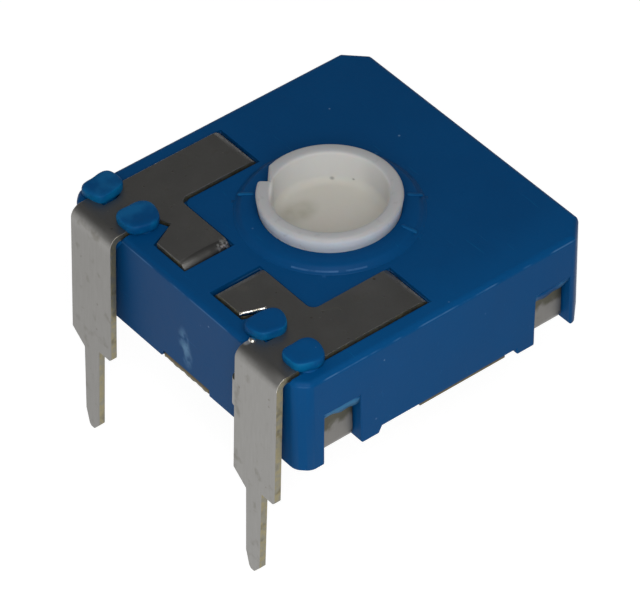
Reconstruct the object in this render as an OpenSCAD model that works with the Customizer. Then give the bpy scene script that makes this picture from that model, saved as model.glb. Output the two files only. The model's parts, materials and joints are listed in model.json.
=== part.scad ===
// Trimmer potentiometer, single turn, adjusted from above.
// Units are millimetres. +Z is up, along the rotor's axis. The origin is under the rotor,
// level with the tips of the three pins. The two end terminals are on the -Y side.

/* [Housing] */
// Width of the housing, along X
body_width = 14; // [13:0.1:17]
// Depth of the housing, along Y
body_depth = 14; // [13:0.1:17]
// Height of the housing, from its feet to its top face
body_height = 4.3; // [3.4:0.1:5]
// Thickness of the four side walls
wall = 1; // [0.8:0.05:1.2]
// Thickness of the top wall
roof = 1; // [0.9:0.05:1.2]
// Cut across the two corners on the terminal side
front_corner = 0.45; // [0.2:0.05:0.8]
// Cut across the two corners on the far side
rear_corner = 0.85; // [0.2:0.05:0.9]
// Rounding of the edges round the top face
top_round = 0.18; // [0.05:0.01:0.3]
// Diameter of the raised dial round the rotor
dial_d = 7.2; // [6.8:0.1:7.6]
// Height of the raised dial at its rim
dial_rise = 0.2; // [0.1:0.01:0.25]
// Height of the dial's middle above its rim
dial_crown = 0.12; // [0.05:0.01:0.2]
// Angles of the dial's inner marks from the middle of the travel
dial_marks = [28, 62]; // [15:1:120]

/* [Feet and windows] */
// Length of the feet beside the windows
foot_length = 0.9; // [0.6:0.1:1.3]
// Width of the windows that show the clip tabs
window_width = 1.72; // [1.66:0.02:1.9]
// Height of the windows above the feet
window_height = 2.45; // [2:0.05:2.6]
// Distance of a window's middle from the end of its wall
window_inset = 1.94; // [1.9:0.02:2.3]
// Height of the slope over each window
lintel = 0.45; // [0.2:0.05:0.6]

/* [Rotor] */
// Outer diameter of the rotor's collar
collar_d = 5.4; // [4.8:0.1:6.4]
// Height of the collar above the top face
collar_rise = 0.97; // [0.8:0.01:1.5]
// Diameter of the round recess that takes the setting tool
recess_d = 4.5; // [3.6:0.1:4.6]
// Depth of the recess
recess_depth = 1.45; // [0.8:0.01:1.6]
// Width of the pointer, a step in the collar's wall
pointer_width = 0.94; // [0.8:0.01:1.1]
// Depth of the pointer's step
pointer_depth = 0.43; // [0.3:0.01:0.5]
// Diameter of the hub under the top wall
hub_d = 6.6; // [6.5:0.1:6.8]
// Diameter of the flange that carries the wiper
flange_d = 9.4; // [9.2:0.1:9.6]
// Thickness of the flange
flange_thick = 0.6; // [0.5:0.05:0.8]
// Running clearance of the collar in the top wall, on the radius
bearing_gap = 0.05; // [0.02:0.01:0.1]
// End play of the rotor between the top wall and the contact plate
end_play = 0.05; // [0.03:0.01:0.1]

/* [Travel] */
// Mechanical travel, in degrees
travel = 265; // [200:1:280]
// Angle of the pointer as drawn, anticlockwise from +X
pointer_angle = 206; // [100:0.5:210]
// Width of the stop lug on the flange
lug_width = 1; // [0.8:0.1:1.4]
// Reach of the stop lug beyond the flange
lug_reach = 0.8; // [0.6:0.05:0.9]

/* [Terminals] */
// Thickness of the tinned brass sheet
sheet = 0.3; // [0.25:0.01:0.36]
// Distance between the two end pins
pin_pitch = 10; // [9.6:0.1:10.4]
// Width of a pin
pin_width = 0.92; // [0.6:0.02:1.1]
// Length of a pin below its shoulders
pin_length = 4.2; // [3:0.1:6]
// Width of the strip above the shoulders
strip_width = 2.45; // [2:0.05:2.6]
// Height of the feet above the shoulders, which stand on the board
standoff = 1.65; // [1:0.05:3]
// Inside radius of the bend above a pin, which also sets the strip's distance from the wall
bend = 0.2; // [0.15:0.01:0.5]
// Outward lean of the pins, in degrees
pin_lean = 2.3; // [0:0.1:4]
// Height of the ear that spaces the right strip from the wall
ear_height = 1.25; // [0.8:0.05:1.6]
// Distance of the ear's upper end from the top face
ear_drop = 1.5; // [1:0.1:2.2]

/* [Corner plates] */
// Reach of a plate beyond the middle of its pin, towards the side wall
plate_reach = 1.2; // [1.13:0.01:1.4]
// Width of the long arm, along the side wall
long_width = 2.22; // [2:0.02:2.4]
// Distance of the long arm's end from the middle
long_end = 0.32; // [0.2:0.02:0.8]
// Distance of the cross arm from the outside of the wall
cross_inset = 0.8; // [0.7:0.05:0.95]
// Width of the cross arm
cross_width = 2.15; // [1.9:0.05:2.2]
// Distance of the cross arm's end from the middle
cross_end = 0.85; // [0.75:0.05:1.2]
// Height of the plates above the top face
plate_rise = 0.12; // [0:0.01:0.15]
// Gap between a plate and its pocket
plate_gap = 0.1; // [0.05:0.01:0.12]
// Depth of the rolled ends below the plate's own top
roll_depth = 0.75; // [0.6:0.05:0.8]
// Diameter of the posts that hold the plates
post_d = 0.9; // [0.8:0.05:1]
// Distance of the posts' middles from the outside of the wall
post_inset = 1.06; // [1:0.02:1.2]
// Distance of the outer post from the middle of the pin
outer_post_shift = 1.06; // [0.9:0.02:1.1]
// Distance of the inner post from the middle of the pin
inner_post_shift = 1.24; // [1.2:0.02:1.4]
// Width of the formed heads, along X
head_width = 1.1; // [1:0.02:1.2]
// Length of the formed heads on the two outer posts, along Y
outer_head_length = 1.36; // [1.2:0.02:1.5]
// Length of the formed heads on the two inner posts, along Y
inner_head_length = 1.5; // [1.2:0.02:1.6]
// Thickness of the formed heads
head_thick = 0.38; // [0.25:0.01:0.5]

/* [Contact plate] */
// Width of the tongue on the terminal side
tongue_width = 2.7; // [2:0.1:2.8]
// Width of the two arms under the side walls
arm_width = 4.14; // [3:0.02:4.4]
// Offset of the two arms from the middle
arm_shift = 0.79; // [0:0.01:0.8]
// Width of the clip tabs
tab_width = 1.54; // [1.2:0.02:1.56]
// Distance of a tab's face from the outside of the wall
tab_depth = 0.4; // [0.35:0.01:0.5]
// Height of the clip tabs above the lower edge of the slopes
tab_hook = 0.35; // [0.2:0.05:0.4]

/* [Resistor card] */
// Thickness of the card
card_thick = 0.6; // [0.5:0.05:0.7]
// Thickness of the printed track
track_thick = 0.04; // [0.02:0.01:0.06]
// Mean radius of the track
track_r = 4; // [3.9:0.05:4.1]
// Width of the track
track_width = 1.1; // [0.9:0.05:1.2]
// Thickness of the wiper's spring sheet
spring = 0.2; // [0.15:0.01:0.25]

/* [Hidden] */
$fn = 64;
eps = 0.01;
over = 1;
fit_gap = 0.05;

// Levels, from the board up. The rotor's flange stands midway in the height that is left
// between the contact plate and the card.
board_z = pin_length;
floor_z = board_z + standoff;
roof_z = floor_z + body_height;
sheet_top_z = floor_z + sheet;
ceiling_z = roof_z - roof;
card_z = ceiling_z - card_thick;
print_z = card_z - track_thick;
flange_room = print_z - sheet_top_z - 2 * end_play - flange_thick - spring;
flange_z = sheet_top_z + end_play + flange_room / 2;
flange_top_z = flange_z + flange_thick;
collar_z = roof_z + collar_rise;
recess_z = collar_z - recess_depth;
dial_z = roof_z + dial_rise + dial_crown;
plate_top_z = roof_z + plate_rise;
plate_z = plate_top_z - sheet;

// Housing
half_x = body_width / 2;
half_y = body_depth / 2;
cavity_x = half_x - wall;
cavity_y = half_y - wall;
cavity_round = 0.5;
bore_r = collar_d / 2 + bearing_gap;
mark_width = 0.16;
mark_rise = 0.05;
mark_start = 3.05;
mark_reach = 0.15;
dial_round = 0.07;
window_place = half_y - window_inset;
lintel_depth = 0.3;
stop_thick = 0.7;
stop_gap = 0.04;
stop_drop = 0.2;
stop_margin = 0.15;

// Rotor, stops and wiper
collar_r = collar_d / 2;
recess_r = recess_d / 2;
hub_r = hub_d / 2;
flange_r = flange_d / 2;
lug_r = flange_r + lug_reach;
stop_r = flange_r + stop_margin;
mid_travel = 90;
rim_round = 0.12;
floor_round = 0.3;
step_wall_end = 0.28;
foot_ring_r = 2.2;
foot_ring_wall = 0.7;
slot_r = 3.55;
slot_width = 1.5;
slot_thick = 0.4;
leg_gap = 0.1;
peg_r = 0.35;
peg_place = 3.95;
peg_head = 0.15;
finger_length = 1.8;
finger_width = 0.32;
finger_spacing = 0.45;
finger_root = 0.12;

// Terminals
pin_x = pin_pitch / 2;
outer_post_x = pin_x + outer_post_shift;
inner_post_x = pin_x - inner_post_shift;
post_y = half_y - post_inset;
post_r = post_d / 2;
notch_r = post_r + 0.08;
neck_end = half_y - 0.55;
plate_outer = pin_x + plate_reach;
plate_inner = plate_outer - long_width;
cross_outer = half_y - cross_inset;
cross_inner = cross_outer - cross_width;
arm_corner = 0.35;
roll = 0.15;
leg_y = (cross_outer + cross_inner) / 2;
leg_width = 1.1;
leg_foot = 0.7;
slope_rise = 0.2;
slope_drop = 0.35;
shoulder_chamfer = 0.1;
pin_taper = 0.05;
tip_width = 0.4;
tip_long = 0.77;
tip_short = 0.37;
tip_chamfer = 0.1;
ear_gap = 0.05;
plate_inset = 0.2;
arm_inset = 0.15;
tab_bend = 0.2;
tab_root = 0.6;

// ---------- flat outlines ----------

// A rectangle centred on the origin with round corners
module round_rect(w, d, r) {
    square([w - 2 * r, d], center = true);
    square([w, d - 2 * r], center = true);
    for (x = [-1, 1], y = [-1, 1])
        translate([x * (w / 2 - r), y * (d / 2 - r)]) circle(r);
}

// A wall's section with its two upper corners rounded
module round_top(w, h, r) {
    translate([-w / 2, 0]) square([w, h - r]);
    translate([-w / 2 + r, 0]) square([w - 2 * r, h]);
    for (x = [-1, 1]) translate([x * (w / 2 - r), h - r]) circle(r);
}

// A quarter of a ring in the corner where x and y are negative
module quarter_ring(inside, outside) {
    intersection() {
        difference() {
            circle(outside);
            circle(inside);
        }
        translate([-outside - over, -outside - over]) square(outside + over);
    }
}

// A bar of width w from one point to another
module bar(from, to, w) {
    run = to - from;
    translate(from) rotate(atan2(run.y, run.x)) translate([0, -w / 2]) square([norm(run), w]);
}

// The plan's four cut corners, with sides that stand clear of the walls
module corner_cuts() {
    f = half_x + half_y - front_corner;
    b = half_x + half_y - rear_corner;
    x = half_x + over;
    y = half_y + over;
    polygon([
        [f - y, -y], [x, x - f], [x, b - x], [b - y, y],
        [y - b, y], [-x, b - x], [-x, x - f], [y - f, -y]
    ]);
}

// ---------- corner plates, flat ----------

// A corner plate on the +X side, as far as the bend over the wall. The arms stop short of
// their ends by end_cut, and grow widens the outline on every side.
module plate_outline(grow, end_cut) {
    difference() {
        union() {
            translate([plate_inner - grow, -neck_end])
                square([long_width + 2 * grow, neck_end - long_end - end_cut]);
            translate([cross_end + end_cut, -cross_outer - grow])
                square([plate_inner - cross_end - end_cut + eps, cross_width + 2 * grow]);
            translate([plate_inner - grow, -cross_inner + grow]) corner_fillet(arm_corner);
        }
        for (x = [inner_post_x, outer_post_x]) translate([x, -post_y]) circle(notch_r - grow);
        translate([outer_post_x - notch_r + grow, -neck_end - eps])
            square([over, neck_end - post_y + eps]);
        inner_cut(grow);
    }
    translate([pin_x - strip_width / 2 - grow, -half_y])
        square([strip_width + 2 * grow, half_y - neck_end + grow]);
}

// What rounds the inner corner between a plate's two arms, the corner at the origin
module corner_fillet(r) {
    translate([-r, -eps]) difference() {
        square([r + eps, r + eps]);
        translate([0, r + eps]) circle(r);
    }
}

// The notch between the cross arm and the neck, from the inner post towards the middle
module inner_cut(grow) {
    bite_depth = 0.28;
    bite_width = 0.66;
    bite_end = 1.2;
    edge_y = -cross_outer - grow;
    top_y = -post_y + notch_r - grow;
    polygon([
        [inner_post_x + notch_r - grow, -neck_end - eps],
        [inner_post_x + notch_r - grow, -post_y],
        [inner_post_x, top_y],
        [inner_post_x - bite_width, top_y + bite_depth],
        [inner_post_x - bite_end + grow, edge_y - eps],
        [inner_post_x - bite_end + grow, -neck_end - eps]
    ]);
}

// ---------- bent sheet ----------

// A quarter turn of sheet about an axis along X: level at the top, straight down at -Y
module quarter_bend(width, inside) {
    along_x(width) rotate(-90) quarter_ring(inside, inside + sheet);
}

// A section drawn in Y and Z, drawn out along X and centred on x = 0
module along_x(width) {
    translate([-width / 2, 0, 0]) rotate([90, 0, 90]) linear_extrude(width) children();
}

// The strip and its pin seen from the front: one shoulder is sloped, the other square
module pin_outline(top) {
    w = strip_width / 2;
    p = pin_width / 2;
    t = tip_width / 2;
    polygon([
        [-w, top], [-w, board_z + slope_rise], [-p, board_z - slope_drop],
        [-p + pin_taper, tip_long], [-t, tip_chamfer], [-t + tip_chamfer, 0],
        [t - tip_chamfer, 0], [p - pin_taper, tip_short], [p, board_z],
        [w - shoulder_chamfer, board_z], [w, board_z + shoulder_chamfer], [w, top]
    ]);
}

// The side section of a strip about its bend's axis: the bend, and the strip as it leans
module strip_section() {
    outside = bend + sheet;
    intersection() {
        rotate(-90) quarter_ring(bend, outside);
        rotate(-90 - pin_lean) quarter_ring(bend, outside);
    }
    rotate(-pin_lean) translate([-outside, -roof_z]) square([sheet, roof_z]);
}

// The bend and the strip with its pin, the middle at x = 0
module bent_pin(top) {
    intersection() {
        translate([0, -half_y, top - sheet - bend]) along_x(strip_width + over) strip_section();
        translate([0, -half_y, 0]) rotate([90, 0, 0]) linear_extrude(2 * over) pin_outline(top);
    }
}

// The rolled end of an arm, turned down into the top wall: arm along +Y, end at y = 0
module rolled_end(width) {
    translate([0, sheet + roll, -sheet - roll]) quarter_bend(width, roll);
    translate([-width / 2, 0, -roll_depth]) cube([width, sheet, roll_depth - sheet - roll]);
}

// ---------- housing ----------

// The outside of the housing, solid
module housing_block() {
    intersection() {
        translate([0, 0, floor_z - over]) linear_extrude(body_height + 2 * over) corner_cuts();
        translate([0, half_y + over, floor_z]) rotate([90, 0, 0])
            linear_extrude(body_depth + 2 * over) round_top(body_width, body_height, top_round);
        translate([-half_x - over, 0, floor_z]) rotate([90, 0, 90])
            linear_extrude(body_width + 2 * over) round_top(body_depth, body_height, top_round);
    }
}

// The raised dial, which rises towards the collar, with a mark at each end of the travel
// and the inner marks on both sides of its middle
module dial() {
    r = dial_d / 2;
    translate([0, 0, roof_z]) {
        rotate_extrude() polygon([
            [0, -eps], [r, -eps], [r, dial_rise - dial_round],
            [r - dial_round, dial_rise], [bore_r, dial_rise + dial_crown],
            [0, dial_rise + dial_crown]
        ]);
        for (a = [travel / 2, dial_marks[0], dial_marks[1]], side = [-1, 1])
            rotate(mid_travel + side * a) dial_mark();
    }
}

// One of the dial's marks, a low rib that follows the dial's slope and its rim
module dial_mark() {
    r = dial_d / 2;
    rotate([90, 0, 0]) translate([0, 0, -mark_width / 2]) linear_extrude(mark_width) polygon([
        [mark_start, 0], [r + mark_reach, 0], [r + mark_reach, mark_rise],
        [r, dial_rise + mark_rise], [mark_start, dial_rise + dial_crown]
    ]);
}

// A post that holds a corner plate, with its formed head, which lies on the plate
module post(length) {
    soft = 0.14;
    corner = 0.38;
    translate([0, 0, plate_z - eps])
        cylinder(h = plate_top_z - plate_z + 2 * eps, r = post_r);
    translate([0, 0, plate_top_z]) intersection() {
        linear_extrude(head_thick) round_rect(head_width, length, corner);
        rotate([90, 0, 0]) translate([0, 0, -length])
            linear_extrude(2 * length) round_top(head_width, head_thick, soft);
        rotate([90, 0, 90]) translate([0, 0, -length])
            linear_extrude(2 * length) round_top(length, head_thick, soft);
    }
}

// The pocket of one corner plate, open over the wall, on the +X side
module plate_pocket() {
    g = plate_gap;
    translate([0, 0, plate_z]) linear_extrude(sheet + over) {
        plate_outline(g, -g);
        translate([pin_x - strip_width / 2 - g, -half_y - over])
            square([strip_width + 2 * g, over + eps]);
    }
    roll_length = sheet + roll + g;
    roll_z = plate_top_z - roll_depth - fit_gap;
    translate([cross_end - g, -cross_outer - g, roll_z])
        cube([roll_length, cross_width + 2 * g, roof]);
    translate([plate_inner - g, -long_end - sheet - roll, roll_z])
        cube([long_width + 2 * g, roll_length, roof]);
    translate([0, 0, ceiling_z - over])
        linear_extrude(plate_top_z - roll_depth - ceiling_z + over) leg_slot();
}

// The way of a terminal's leg through the top wall and the card, on the +X side
module leg_slot() {
    translate([cross_end - fit_gap, -leg_y - leg_width / 2 - fit_gap])
        square([sheet + 2 * fit_gap, leg_width + 2 * fit_gap]);
}

// A window in the +X wall, with a slope over it and the slot that takes the tab behind it.
// Both start inside the cavity, where the tab's root leaves the contact plate.
module window(y) {
    start = cavity_x - tab_root - fit_gap;
    top = floor_z + window_height;
    slot_end = half_x - tab_depth + fit_gap;
    slot_height = window_height - lintel + tab_hook + fit_gap;
    translate([0, y, 0]) along_y(window_width) polygon([
        [start, floor_z - over], [half_x + over, floor_z - over],
        [half_x + over, top], [half_x, top], [half_x - lintel_depth, top - lintel],
        [start, top - lintel]
    ]);
    translate([start, y - tab_width / 2 - fit_gap, floor_z - over])
        cube([slot_end - start, tab_width + 2 * fit_gap, slot_height + over]);
}

// A section drawn in X and Z, drawn out along Y and centred on y = 0
module along_y(width) {
    translate([0, width / 2, 0]) rotate([90, 0, 0]) linear_extrude(width) children();
}

// The cuts under the walls that let the contact plate out. Each wall sits on the sheet.
module arm_cuts() {
    gap = 2 * (window_place - window_width / 2 - foot_length);
    translate([-body_width, -gap / 2, floor_z - over])
        cube([2 * body_width, gap, sheet + over]);
    translate([-tongue_width / 2 - fit_gap, -half_y - over, floor_z - over])
        cube([tongue_width + 2 * fit_gap, half_y, sheet + over]);
    translate([-strip_width / 2 - fit_gap, 0, floor_z - over])
        cube([strip_width + 2 * fit_gap, half_y + over, sheet + over]);
}

// One of the two ribs that stop the rotor's lug, its stop face on a radius
module stop_rib(turn, side) {
    z = flange_z - stop_drop;
    intersection() {
        rotate(turn) translate([stop_r, side > 0 ? 0 : -stop_thick, z])
            cube([body_width, stop_thick, print_z - z]);
        translate([-cavity_x - eps, -cavity_y - eps, floor_z])
            cube([2 * cavity_x + 2 * eps, cavity_y, body_height]);
    }
}

module housing() color("#14539a") {
    lug_angle = asin(lug_width / 2 / stop_r) + asin(stop_gap / stop_r);
    difference() {
        union() {
            housing_block();
            dial();
        }
        translate([0, 0, floor_z - over]) linear_extrude(ceiling_z - floor_z + over)
            round_rect(2 * cavity_x, 2 * cavity_y, cavity_round);
        translate([0, 0, ceiling_z - over])
            cylinder(h = dial_z - ceiling_z + 2 * over, r = bore_r);
        for (side = [0, 1]) mirror([side, 0, 0]) {
            plate_pocket();
            for (y = [-1, 1]) window(y * window_place);
        }
        arm_cuts();
    }
    stop_rib(mid_travel + travel / 2 + lug_angle, 1);
    stop_rib(mid_travel - travel / 2 - lug_angle, -1);
    for (side = [-1, 1]) {
        translate([side * outer_post_x, -post_y, 0]) post(outer_head_length);
        translate([side * inner_post_x, -post_y, 0]) post(inner_head_length);
    }
}

// ---------- rotor ----------

module ring_section(r0, r1, z0, z1) {
    translate([r0, z0]) square([r1 - r0, z1 - z0]);
}

// The rotor's half section, without its recess
module rotor_section() {
    ring_section(0, collar_r, flange_z, collar_z - rim_round);
    ring_section(0, collar_r - rim_round, flange_z, collar_z);
    translate([collar_r - rim_round, collar_z - rim_round]) circle(rim_round);
    ring_section(0, hub_r, flange_z, ceiling_z - end_play);
    ring_section(0, flange_r, flange_z, flange_top_z);
    ring_section(0, foot_ring_r, sheet_top_z + end_play, flange_z + eps);
}

// The half section of the recess, with a soft corner round its floor
module recess_section() {
    ring_section(0, recess_r, recess_z + floor_round, collar_z + over);
    ring_section(0, recess_r - floor_round, recess_z, recess_z + floor_round + eps);
    intersection() {
        translate([recess_r - floor_round, recess_z + floor_round]) circle(floor_round);
        ring_section(0, recess_r, recess_z, recess_z + floor_round + eps);
    }
}

// The step in the collar's wall is cut to a flat that leaves the collar again at its far end.
step_x = collar_r - pointer_depth;
step_end = sqrt(pow(collar_r, 2) - pow(step_x, 2));
step_start = step_end - pointer_width;
step_turn = atan2(step_end - pointer_width / 2, step_x);

// What carries the collar's wall behind the step, in the recess
module step_wall() {
    thick = collar_r - recess_r;
    intersection() {
        translate([0, 0, recess_z - eps])
            cylinder(h = recess_depth + eps, r = (collar_r + recess_r) / 2);
        rotate(step_turn) translate([step_x - thick, -step_end - thick, recess_z - over])
            cube([2 * thick, pointer_width + thick + step_wall_end, recess_depth + 2 * over]);
    }
}

module rotor() color("#f2f1ec") {
    root = 0.3;
    difference() {
        union() {
            difference() {
                rotate_extrude() rotor_section();
                rotate_extrude() recess_section();
            }
            rotate(pointer_angle) {
                translate([flange_r - root, -lug_width / 2, flange_z])
                    cube([lug_reach + root, lug_width, flange_thick]);
                step_wall();
                for (y = [-peg_place, peg_place]) translate([0, y, flange_top_z - eps])
                    cylinder(h = spring + peg_head + eps, r = peg_r);
            }
        }
        rotate(pointer_angle) {
            rotate(step_turn) translate([step_x, -step_end - over, dial_z])
                cube([over, pointer_width + over, collar_rise + over]);
            translate([-slot_r - slot_thick / 2, -slot_width / 2, flange_z - over])
                cube([slot_thick, slot_width, flange_thick + 2 * over]);
        }
        translate([0, 0, sheet_top_z])
            cylinder(h = flange_z - sheet_top_z, r = foot_ring_r - foot_ring_wall);
    }
}

// ---------- wiper ----------

function finger_rise() = print_z - end_play - flange_top_z - spring;
function finger_run() = sqrt(pow(finger_length, 2) - pow(finger_rise(), 2));

// One sprung finger, from its root on the ring up to the track at y = 0
module finger(x) {
    tilt = asin(finger_rise() / finger_length);
    translate([x - finger_width / 2, -finger_run(), flange_top_z]) rotate([tilt, 0, 0])
        cube([finger_width, finger_length, spring * cos(tilt)]);
}

// The leg that reaches down through the flange to the contact plate, with its sprung foot
module collector_leg() {
    width = slot_width - 2 * leg_gap;
    knee_z = flange_z - spring;
    foot_run = 1;
    drop = knee_z - sheet_top_z - end_play;
    translate([-slot_r - spring / 2, -width / 2, knee_z]) {
        cube([spring, width, flange_top_z - knee_z + spring]);
        rotate([0, atan2(drop, foot_run), 0]) cube([norm([drop, foot_run]), width, spring]);
    }
}

module wiper() color("#c9c7be") rotate(pointer_angle) {
    rim_gap = 0.1;
    inner = hub_r + rim_gap;
    opening_y = finger_root - finger_run();
    difference() {
        translate([0, 0, flange_top_z]) cylinder(h = spring, r = flange_r - rim_gap);
        translate([0, 0, flange_top_z - over]) {
            cylinder(h = spring + 2 * over, r = inner);
            for (a = [-90, 90]) rotate(a) translate([peg_place, 0, 0])
                cylinder(h = spring + 2 * over, r = peg_r + fit_gap);
            translate([inner - finger_width, opening_y, 0])
                cube([flange_r, -opening_y + 2 * finger_width, spring + 2 * over]);
        }
    }
    for (side = [-1, 1]) finger(track_r + side * finger_spacing / 2);
    collector_leg();
}

// ---------- resistor card ----------

module card_plan() {
    card_gap = 0.1;
    hole_gap = 0.3;
    difference() {
        round_rect(2 * (cavity_x - card_gap), 2 * (cavity_y - card_gap), cavity_round);
        circle(hub_r + hole_gap);
        for (side = [0, 1]) mirror([side, 0]) leg_slot();
    }
}

// The horseshoe track with a lead from each end to its terminal's leg
module track_plan() {
    gap_half = 180 - travel / 2 + 10;
    reach = track_r + track_width;
    end = track_r * [sin(gap_half), -cos(gap_half)];
    leg = [cross_end + sheet + leg_foot / 2, -leg_y];
    difference() {
        union() {
            difference() {
                circle(track_r + track_width / 2);
                polygon([[0, 0], reach * [-tan(gap_half), -1], reach * [tan(gap_half), -1]]);
            }
            for (side = [0, 1]) mirror([side, 0]) {
                bar(end, leg, track_width);
                translate(leg) circle(d = track_width);
            }
        }
        circle(track_r - track_width / 2);
        for (side = [0, 1]) mirror([side, 0]) leg_slot();
    }
}

module resistor_card() color("#7a5230") {
    translate([0, 0, card_z]) linear_extrude(card_thick) card_plan();
    translate([0, 0, print_z]) linear_extrude(track_thick) track_plan();
}

// ---------- terminals ----------

// A corner plate on the +X side, with its rolled ends and the leg to the card
module corner_plate() {
    translate([0, 0, plate_z]) linear_extrude(sheet) plate_outline(0, sheet + roll);
    translate([(plate_inner + plate_outer) / 2, -long_end, plate_top_z])
        mirror([0, 1, 0]) rolled_end(long_width);
    translate([cross_end, -leg_y, plate_top_z]) rotate(-90) rolled_end(cross_width);
    translate([cross_end, -leg_y - leg_width / 2, print_z - sheet]) {
        cube([sheet, leg_width, plate_top_z - roll_depth - print_z + sheet]);
        cube([sheet + leg_foot, leg_width, sheet]);
    }
}

// The small ear turned back from the right strip's inner edge on to the wall. It leans with
// the strip, and the wall's face cuts it off.
module ear() {
    axis_z = plate_top_z - sheet - bend;
    translate([pin_x - strip_width / 2, -half_y, axis_z]) intersection() {
        rotate([-pin_lean, 0, 0])
            translate([0, ear_gap - bend, roof_z - ear_drop - ear_height - axis_z])
                linear_extrude(ear_height) {
                    quarter_ring(ear_gap, ear_gap + sheet);
                    translate([-ear_gap - sheet, 0]) square([sheet, bend + over]);
                }
        translate([-over, -2 * over, -body_height]) cube([2 * over, 2 * over, body_height]);
    }
}

// side is -1 for the left terminal and 1 for the right one
module end_terminal(side) color("#b9b6b0") {
    mirror([side < 0 ? 1 : 0, 0, 0]) corner_plate();
    if (side > 0) ear();
    translate([side * pin_x, 0, 0]) bent_pin(plate_top_z);
}
module end_terminal_left() end_terminal(-1);
module end_terminal_right() end_terminal(1);

// One clip tab of the contact plate, turned up on the +X side
module clip_tab() {
    r = tab_bend + sheet;
    face_x = half_x - tab_depth;
    translate([face_x - r, 0, floor_z + r]) rotate([180, 0, -90])
        quarter_bend(tab_width, tab_bend);
    translate([face_x - sheet, -tab_width / 2, floor_z + r])
        cube([sheet, tab_width, window_height - lintel + tab_hook - r]);
    translate([cavity_x - tab_root, -tab_width / 2, floor_z])
        cube([face_x - r - cavity_x + tab_root, tab_width, sheet]);
}

// The contact plate in plan, with the tongue, the arms and the start of the wiper pin
module contact_plan() {
    relief = 0.5;
    relief_y = window_place - tab_width / 2 - relief / 2;
    difference() {
        square([2 * (cavity_x - plate_inset), 2 * (cavity_y - plate_inset)], center = true);
        for (x = [-1, 1], y = [-1, 1])
            translate([x * (cavity_x - plate_inset), y * relief_y]) square(relief, center = true);
    }
    translate([-tongue_width / 2, -half_y + arm_inset])
        square([tongue_width, half_y - arm_inset]);
    for (turn = [0, 180]) rotate(turn)
        translate([0, arm_shift - arm_width / 2]) square([half_x - arm_inset, arm_width]);
    translate([-strip_width / 2, 0]) square([strip_width, half_y]);
}

module wiper_terminal() color("#b9b6b0") {
    translate([0, 0, floor_z]) linear_extrude(sheet) contact_plan();
    for (side = [0, 1], y = [-1, 1])
        mirror([side, 0, 0]) translate([0, y * window_place, 0]) clip_tab();
    mirror([0, 1, 0]) bent_pin(sheet_top_z);
}

housing();
rotor();
wiper();
resistor_card();
end_terminal_left();
end_terminal_right();
wiper_terminal();
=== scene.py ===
# %% [markdown]
# # A trimmer potentiometer
# This small part sets a resistance on a printed circuit board. A blue moulded housing holds a
# white rotor, two corner terminals and a contact plate with a third pin. The lesson takes the
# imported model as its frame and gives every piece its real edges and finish. Sizes are in metres,
# and most are fractions of a millimetre, so one named value turns one into the other.

# %% Load the frame
import json
import math
import bmesh
import bpy
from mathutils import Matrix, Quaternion, Vector


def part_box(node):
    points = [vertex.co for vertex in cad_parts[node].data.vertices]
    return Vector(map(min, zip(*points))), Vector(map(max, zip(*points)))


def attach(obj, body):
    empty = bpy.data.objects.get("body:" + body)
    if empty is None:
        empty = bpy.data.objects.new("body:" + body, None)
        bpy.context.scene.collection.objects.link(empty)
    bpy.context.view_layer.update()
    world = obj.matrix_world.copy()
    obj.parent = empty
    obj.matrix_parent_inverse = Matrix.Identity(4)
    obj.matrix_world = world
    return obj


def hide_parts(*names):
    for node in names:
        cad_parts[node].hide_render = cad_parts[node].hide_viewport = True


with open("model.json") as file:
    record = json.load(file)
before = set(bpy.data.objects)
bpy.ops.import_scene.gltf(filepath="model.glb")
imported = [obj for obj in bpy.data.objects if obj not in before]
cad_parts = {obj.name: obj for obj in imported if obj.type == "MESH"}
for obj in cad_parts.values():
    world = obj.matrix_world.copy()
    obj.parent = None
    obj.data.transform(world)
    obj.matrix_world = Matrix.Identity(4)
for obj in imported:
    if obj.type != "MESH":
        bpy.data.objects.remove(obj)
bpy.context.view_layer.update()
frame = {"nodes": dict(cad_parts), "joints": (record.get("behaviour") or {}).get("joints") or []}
MM = 0.001

# %% [markdown]
# ## Levels to build from
# Nothing is measured twice. The rotor's joint lies in the plane of the top face, the housing's
# lowest point is its feet, and the terminals' highest point is the top of their plates.

# %% Levels and places
roof_z = frame["joints"][0]["pos_m"][2]
feet_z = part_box("housing")[0].z
wall_x, wall_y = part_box("housing")[1].x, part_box("housing")[1].y
plate_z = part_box("end_terminal_right")[1].z
collar_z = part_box("rotor")[1].z
print("top face at", round(roof_z / MM, 3), "mm, feet at", round(feet_z / MM, 3), "mm")
print("plates at", round(plate_z / MM, 3), "mm, collar at", round(collar_z / MM, 3), "mm")

# %% [markdown]
# ## The camera
# A long lens stands 18 cm away, high on the right, and looks down on the corner between the two
# terminals. The aim point lies in the top face. The small shift only places the part in the
# frame: it does not change the perspective.

# %% Camera
def shown(name, data):
    """A new object in the scene that holds the data."""
    thing = bpy.data.objects.new(name, data)
    bpy.context.scene.collection.objects.link(thing)
    return thing


aim = Vector((3.875 * MM, -2.912 * MM, roof_z))
azimuth, elevation = math.radians(51.554), math.radians(42.351)
distance = 181.153 * MM
back = Vector((
    math.sin(azimuth) * math.cos(elevation),
    -math.cos(azimuth) * math.cos(elevation),
    math.sin(elevation),
))
camera = shown("camera", bpy.data.cameras.new("camera"))
camera.location = aim + back * distance
upright = (-back).to_track_quat("-Z", "Y")
tilt = Quaternion((0, 0, 1), math.radians(-0.693))
camera.rotation_euler = (upright @ tilt).to_euler()
camera.data.sensor_width = 36
camera.data.lens = 277.27
camera.data.shift_x = -0.02257
camera.data.shift_y = -0.00089
camera.data.clip_start, camera.data.clip_end = 0.001, 10
bpy.context.scene.camera = camera
print("camera at", [round(c / MM, 1) for c in camera.location], "mm")

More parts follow.
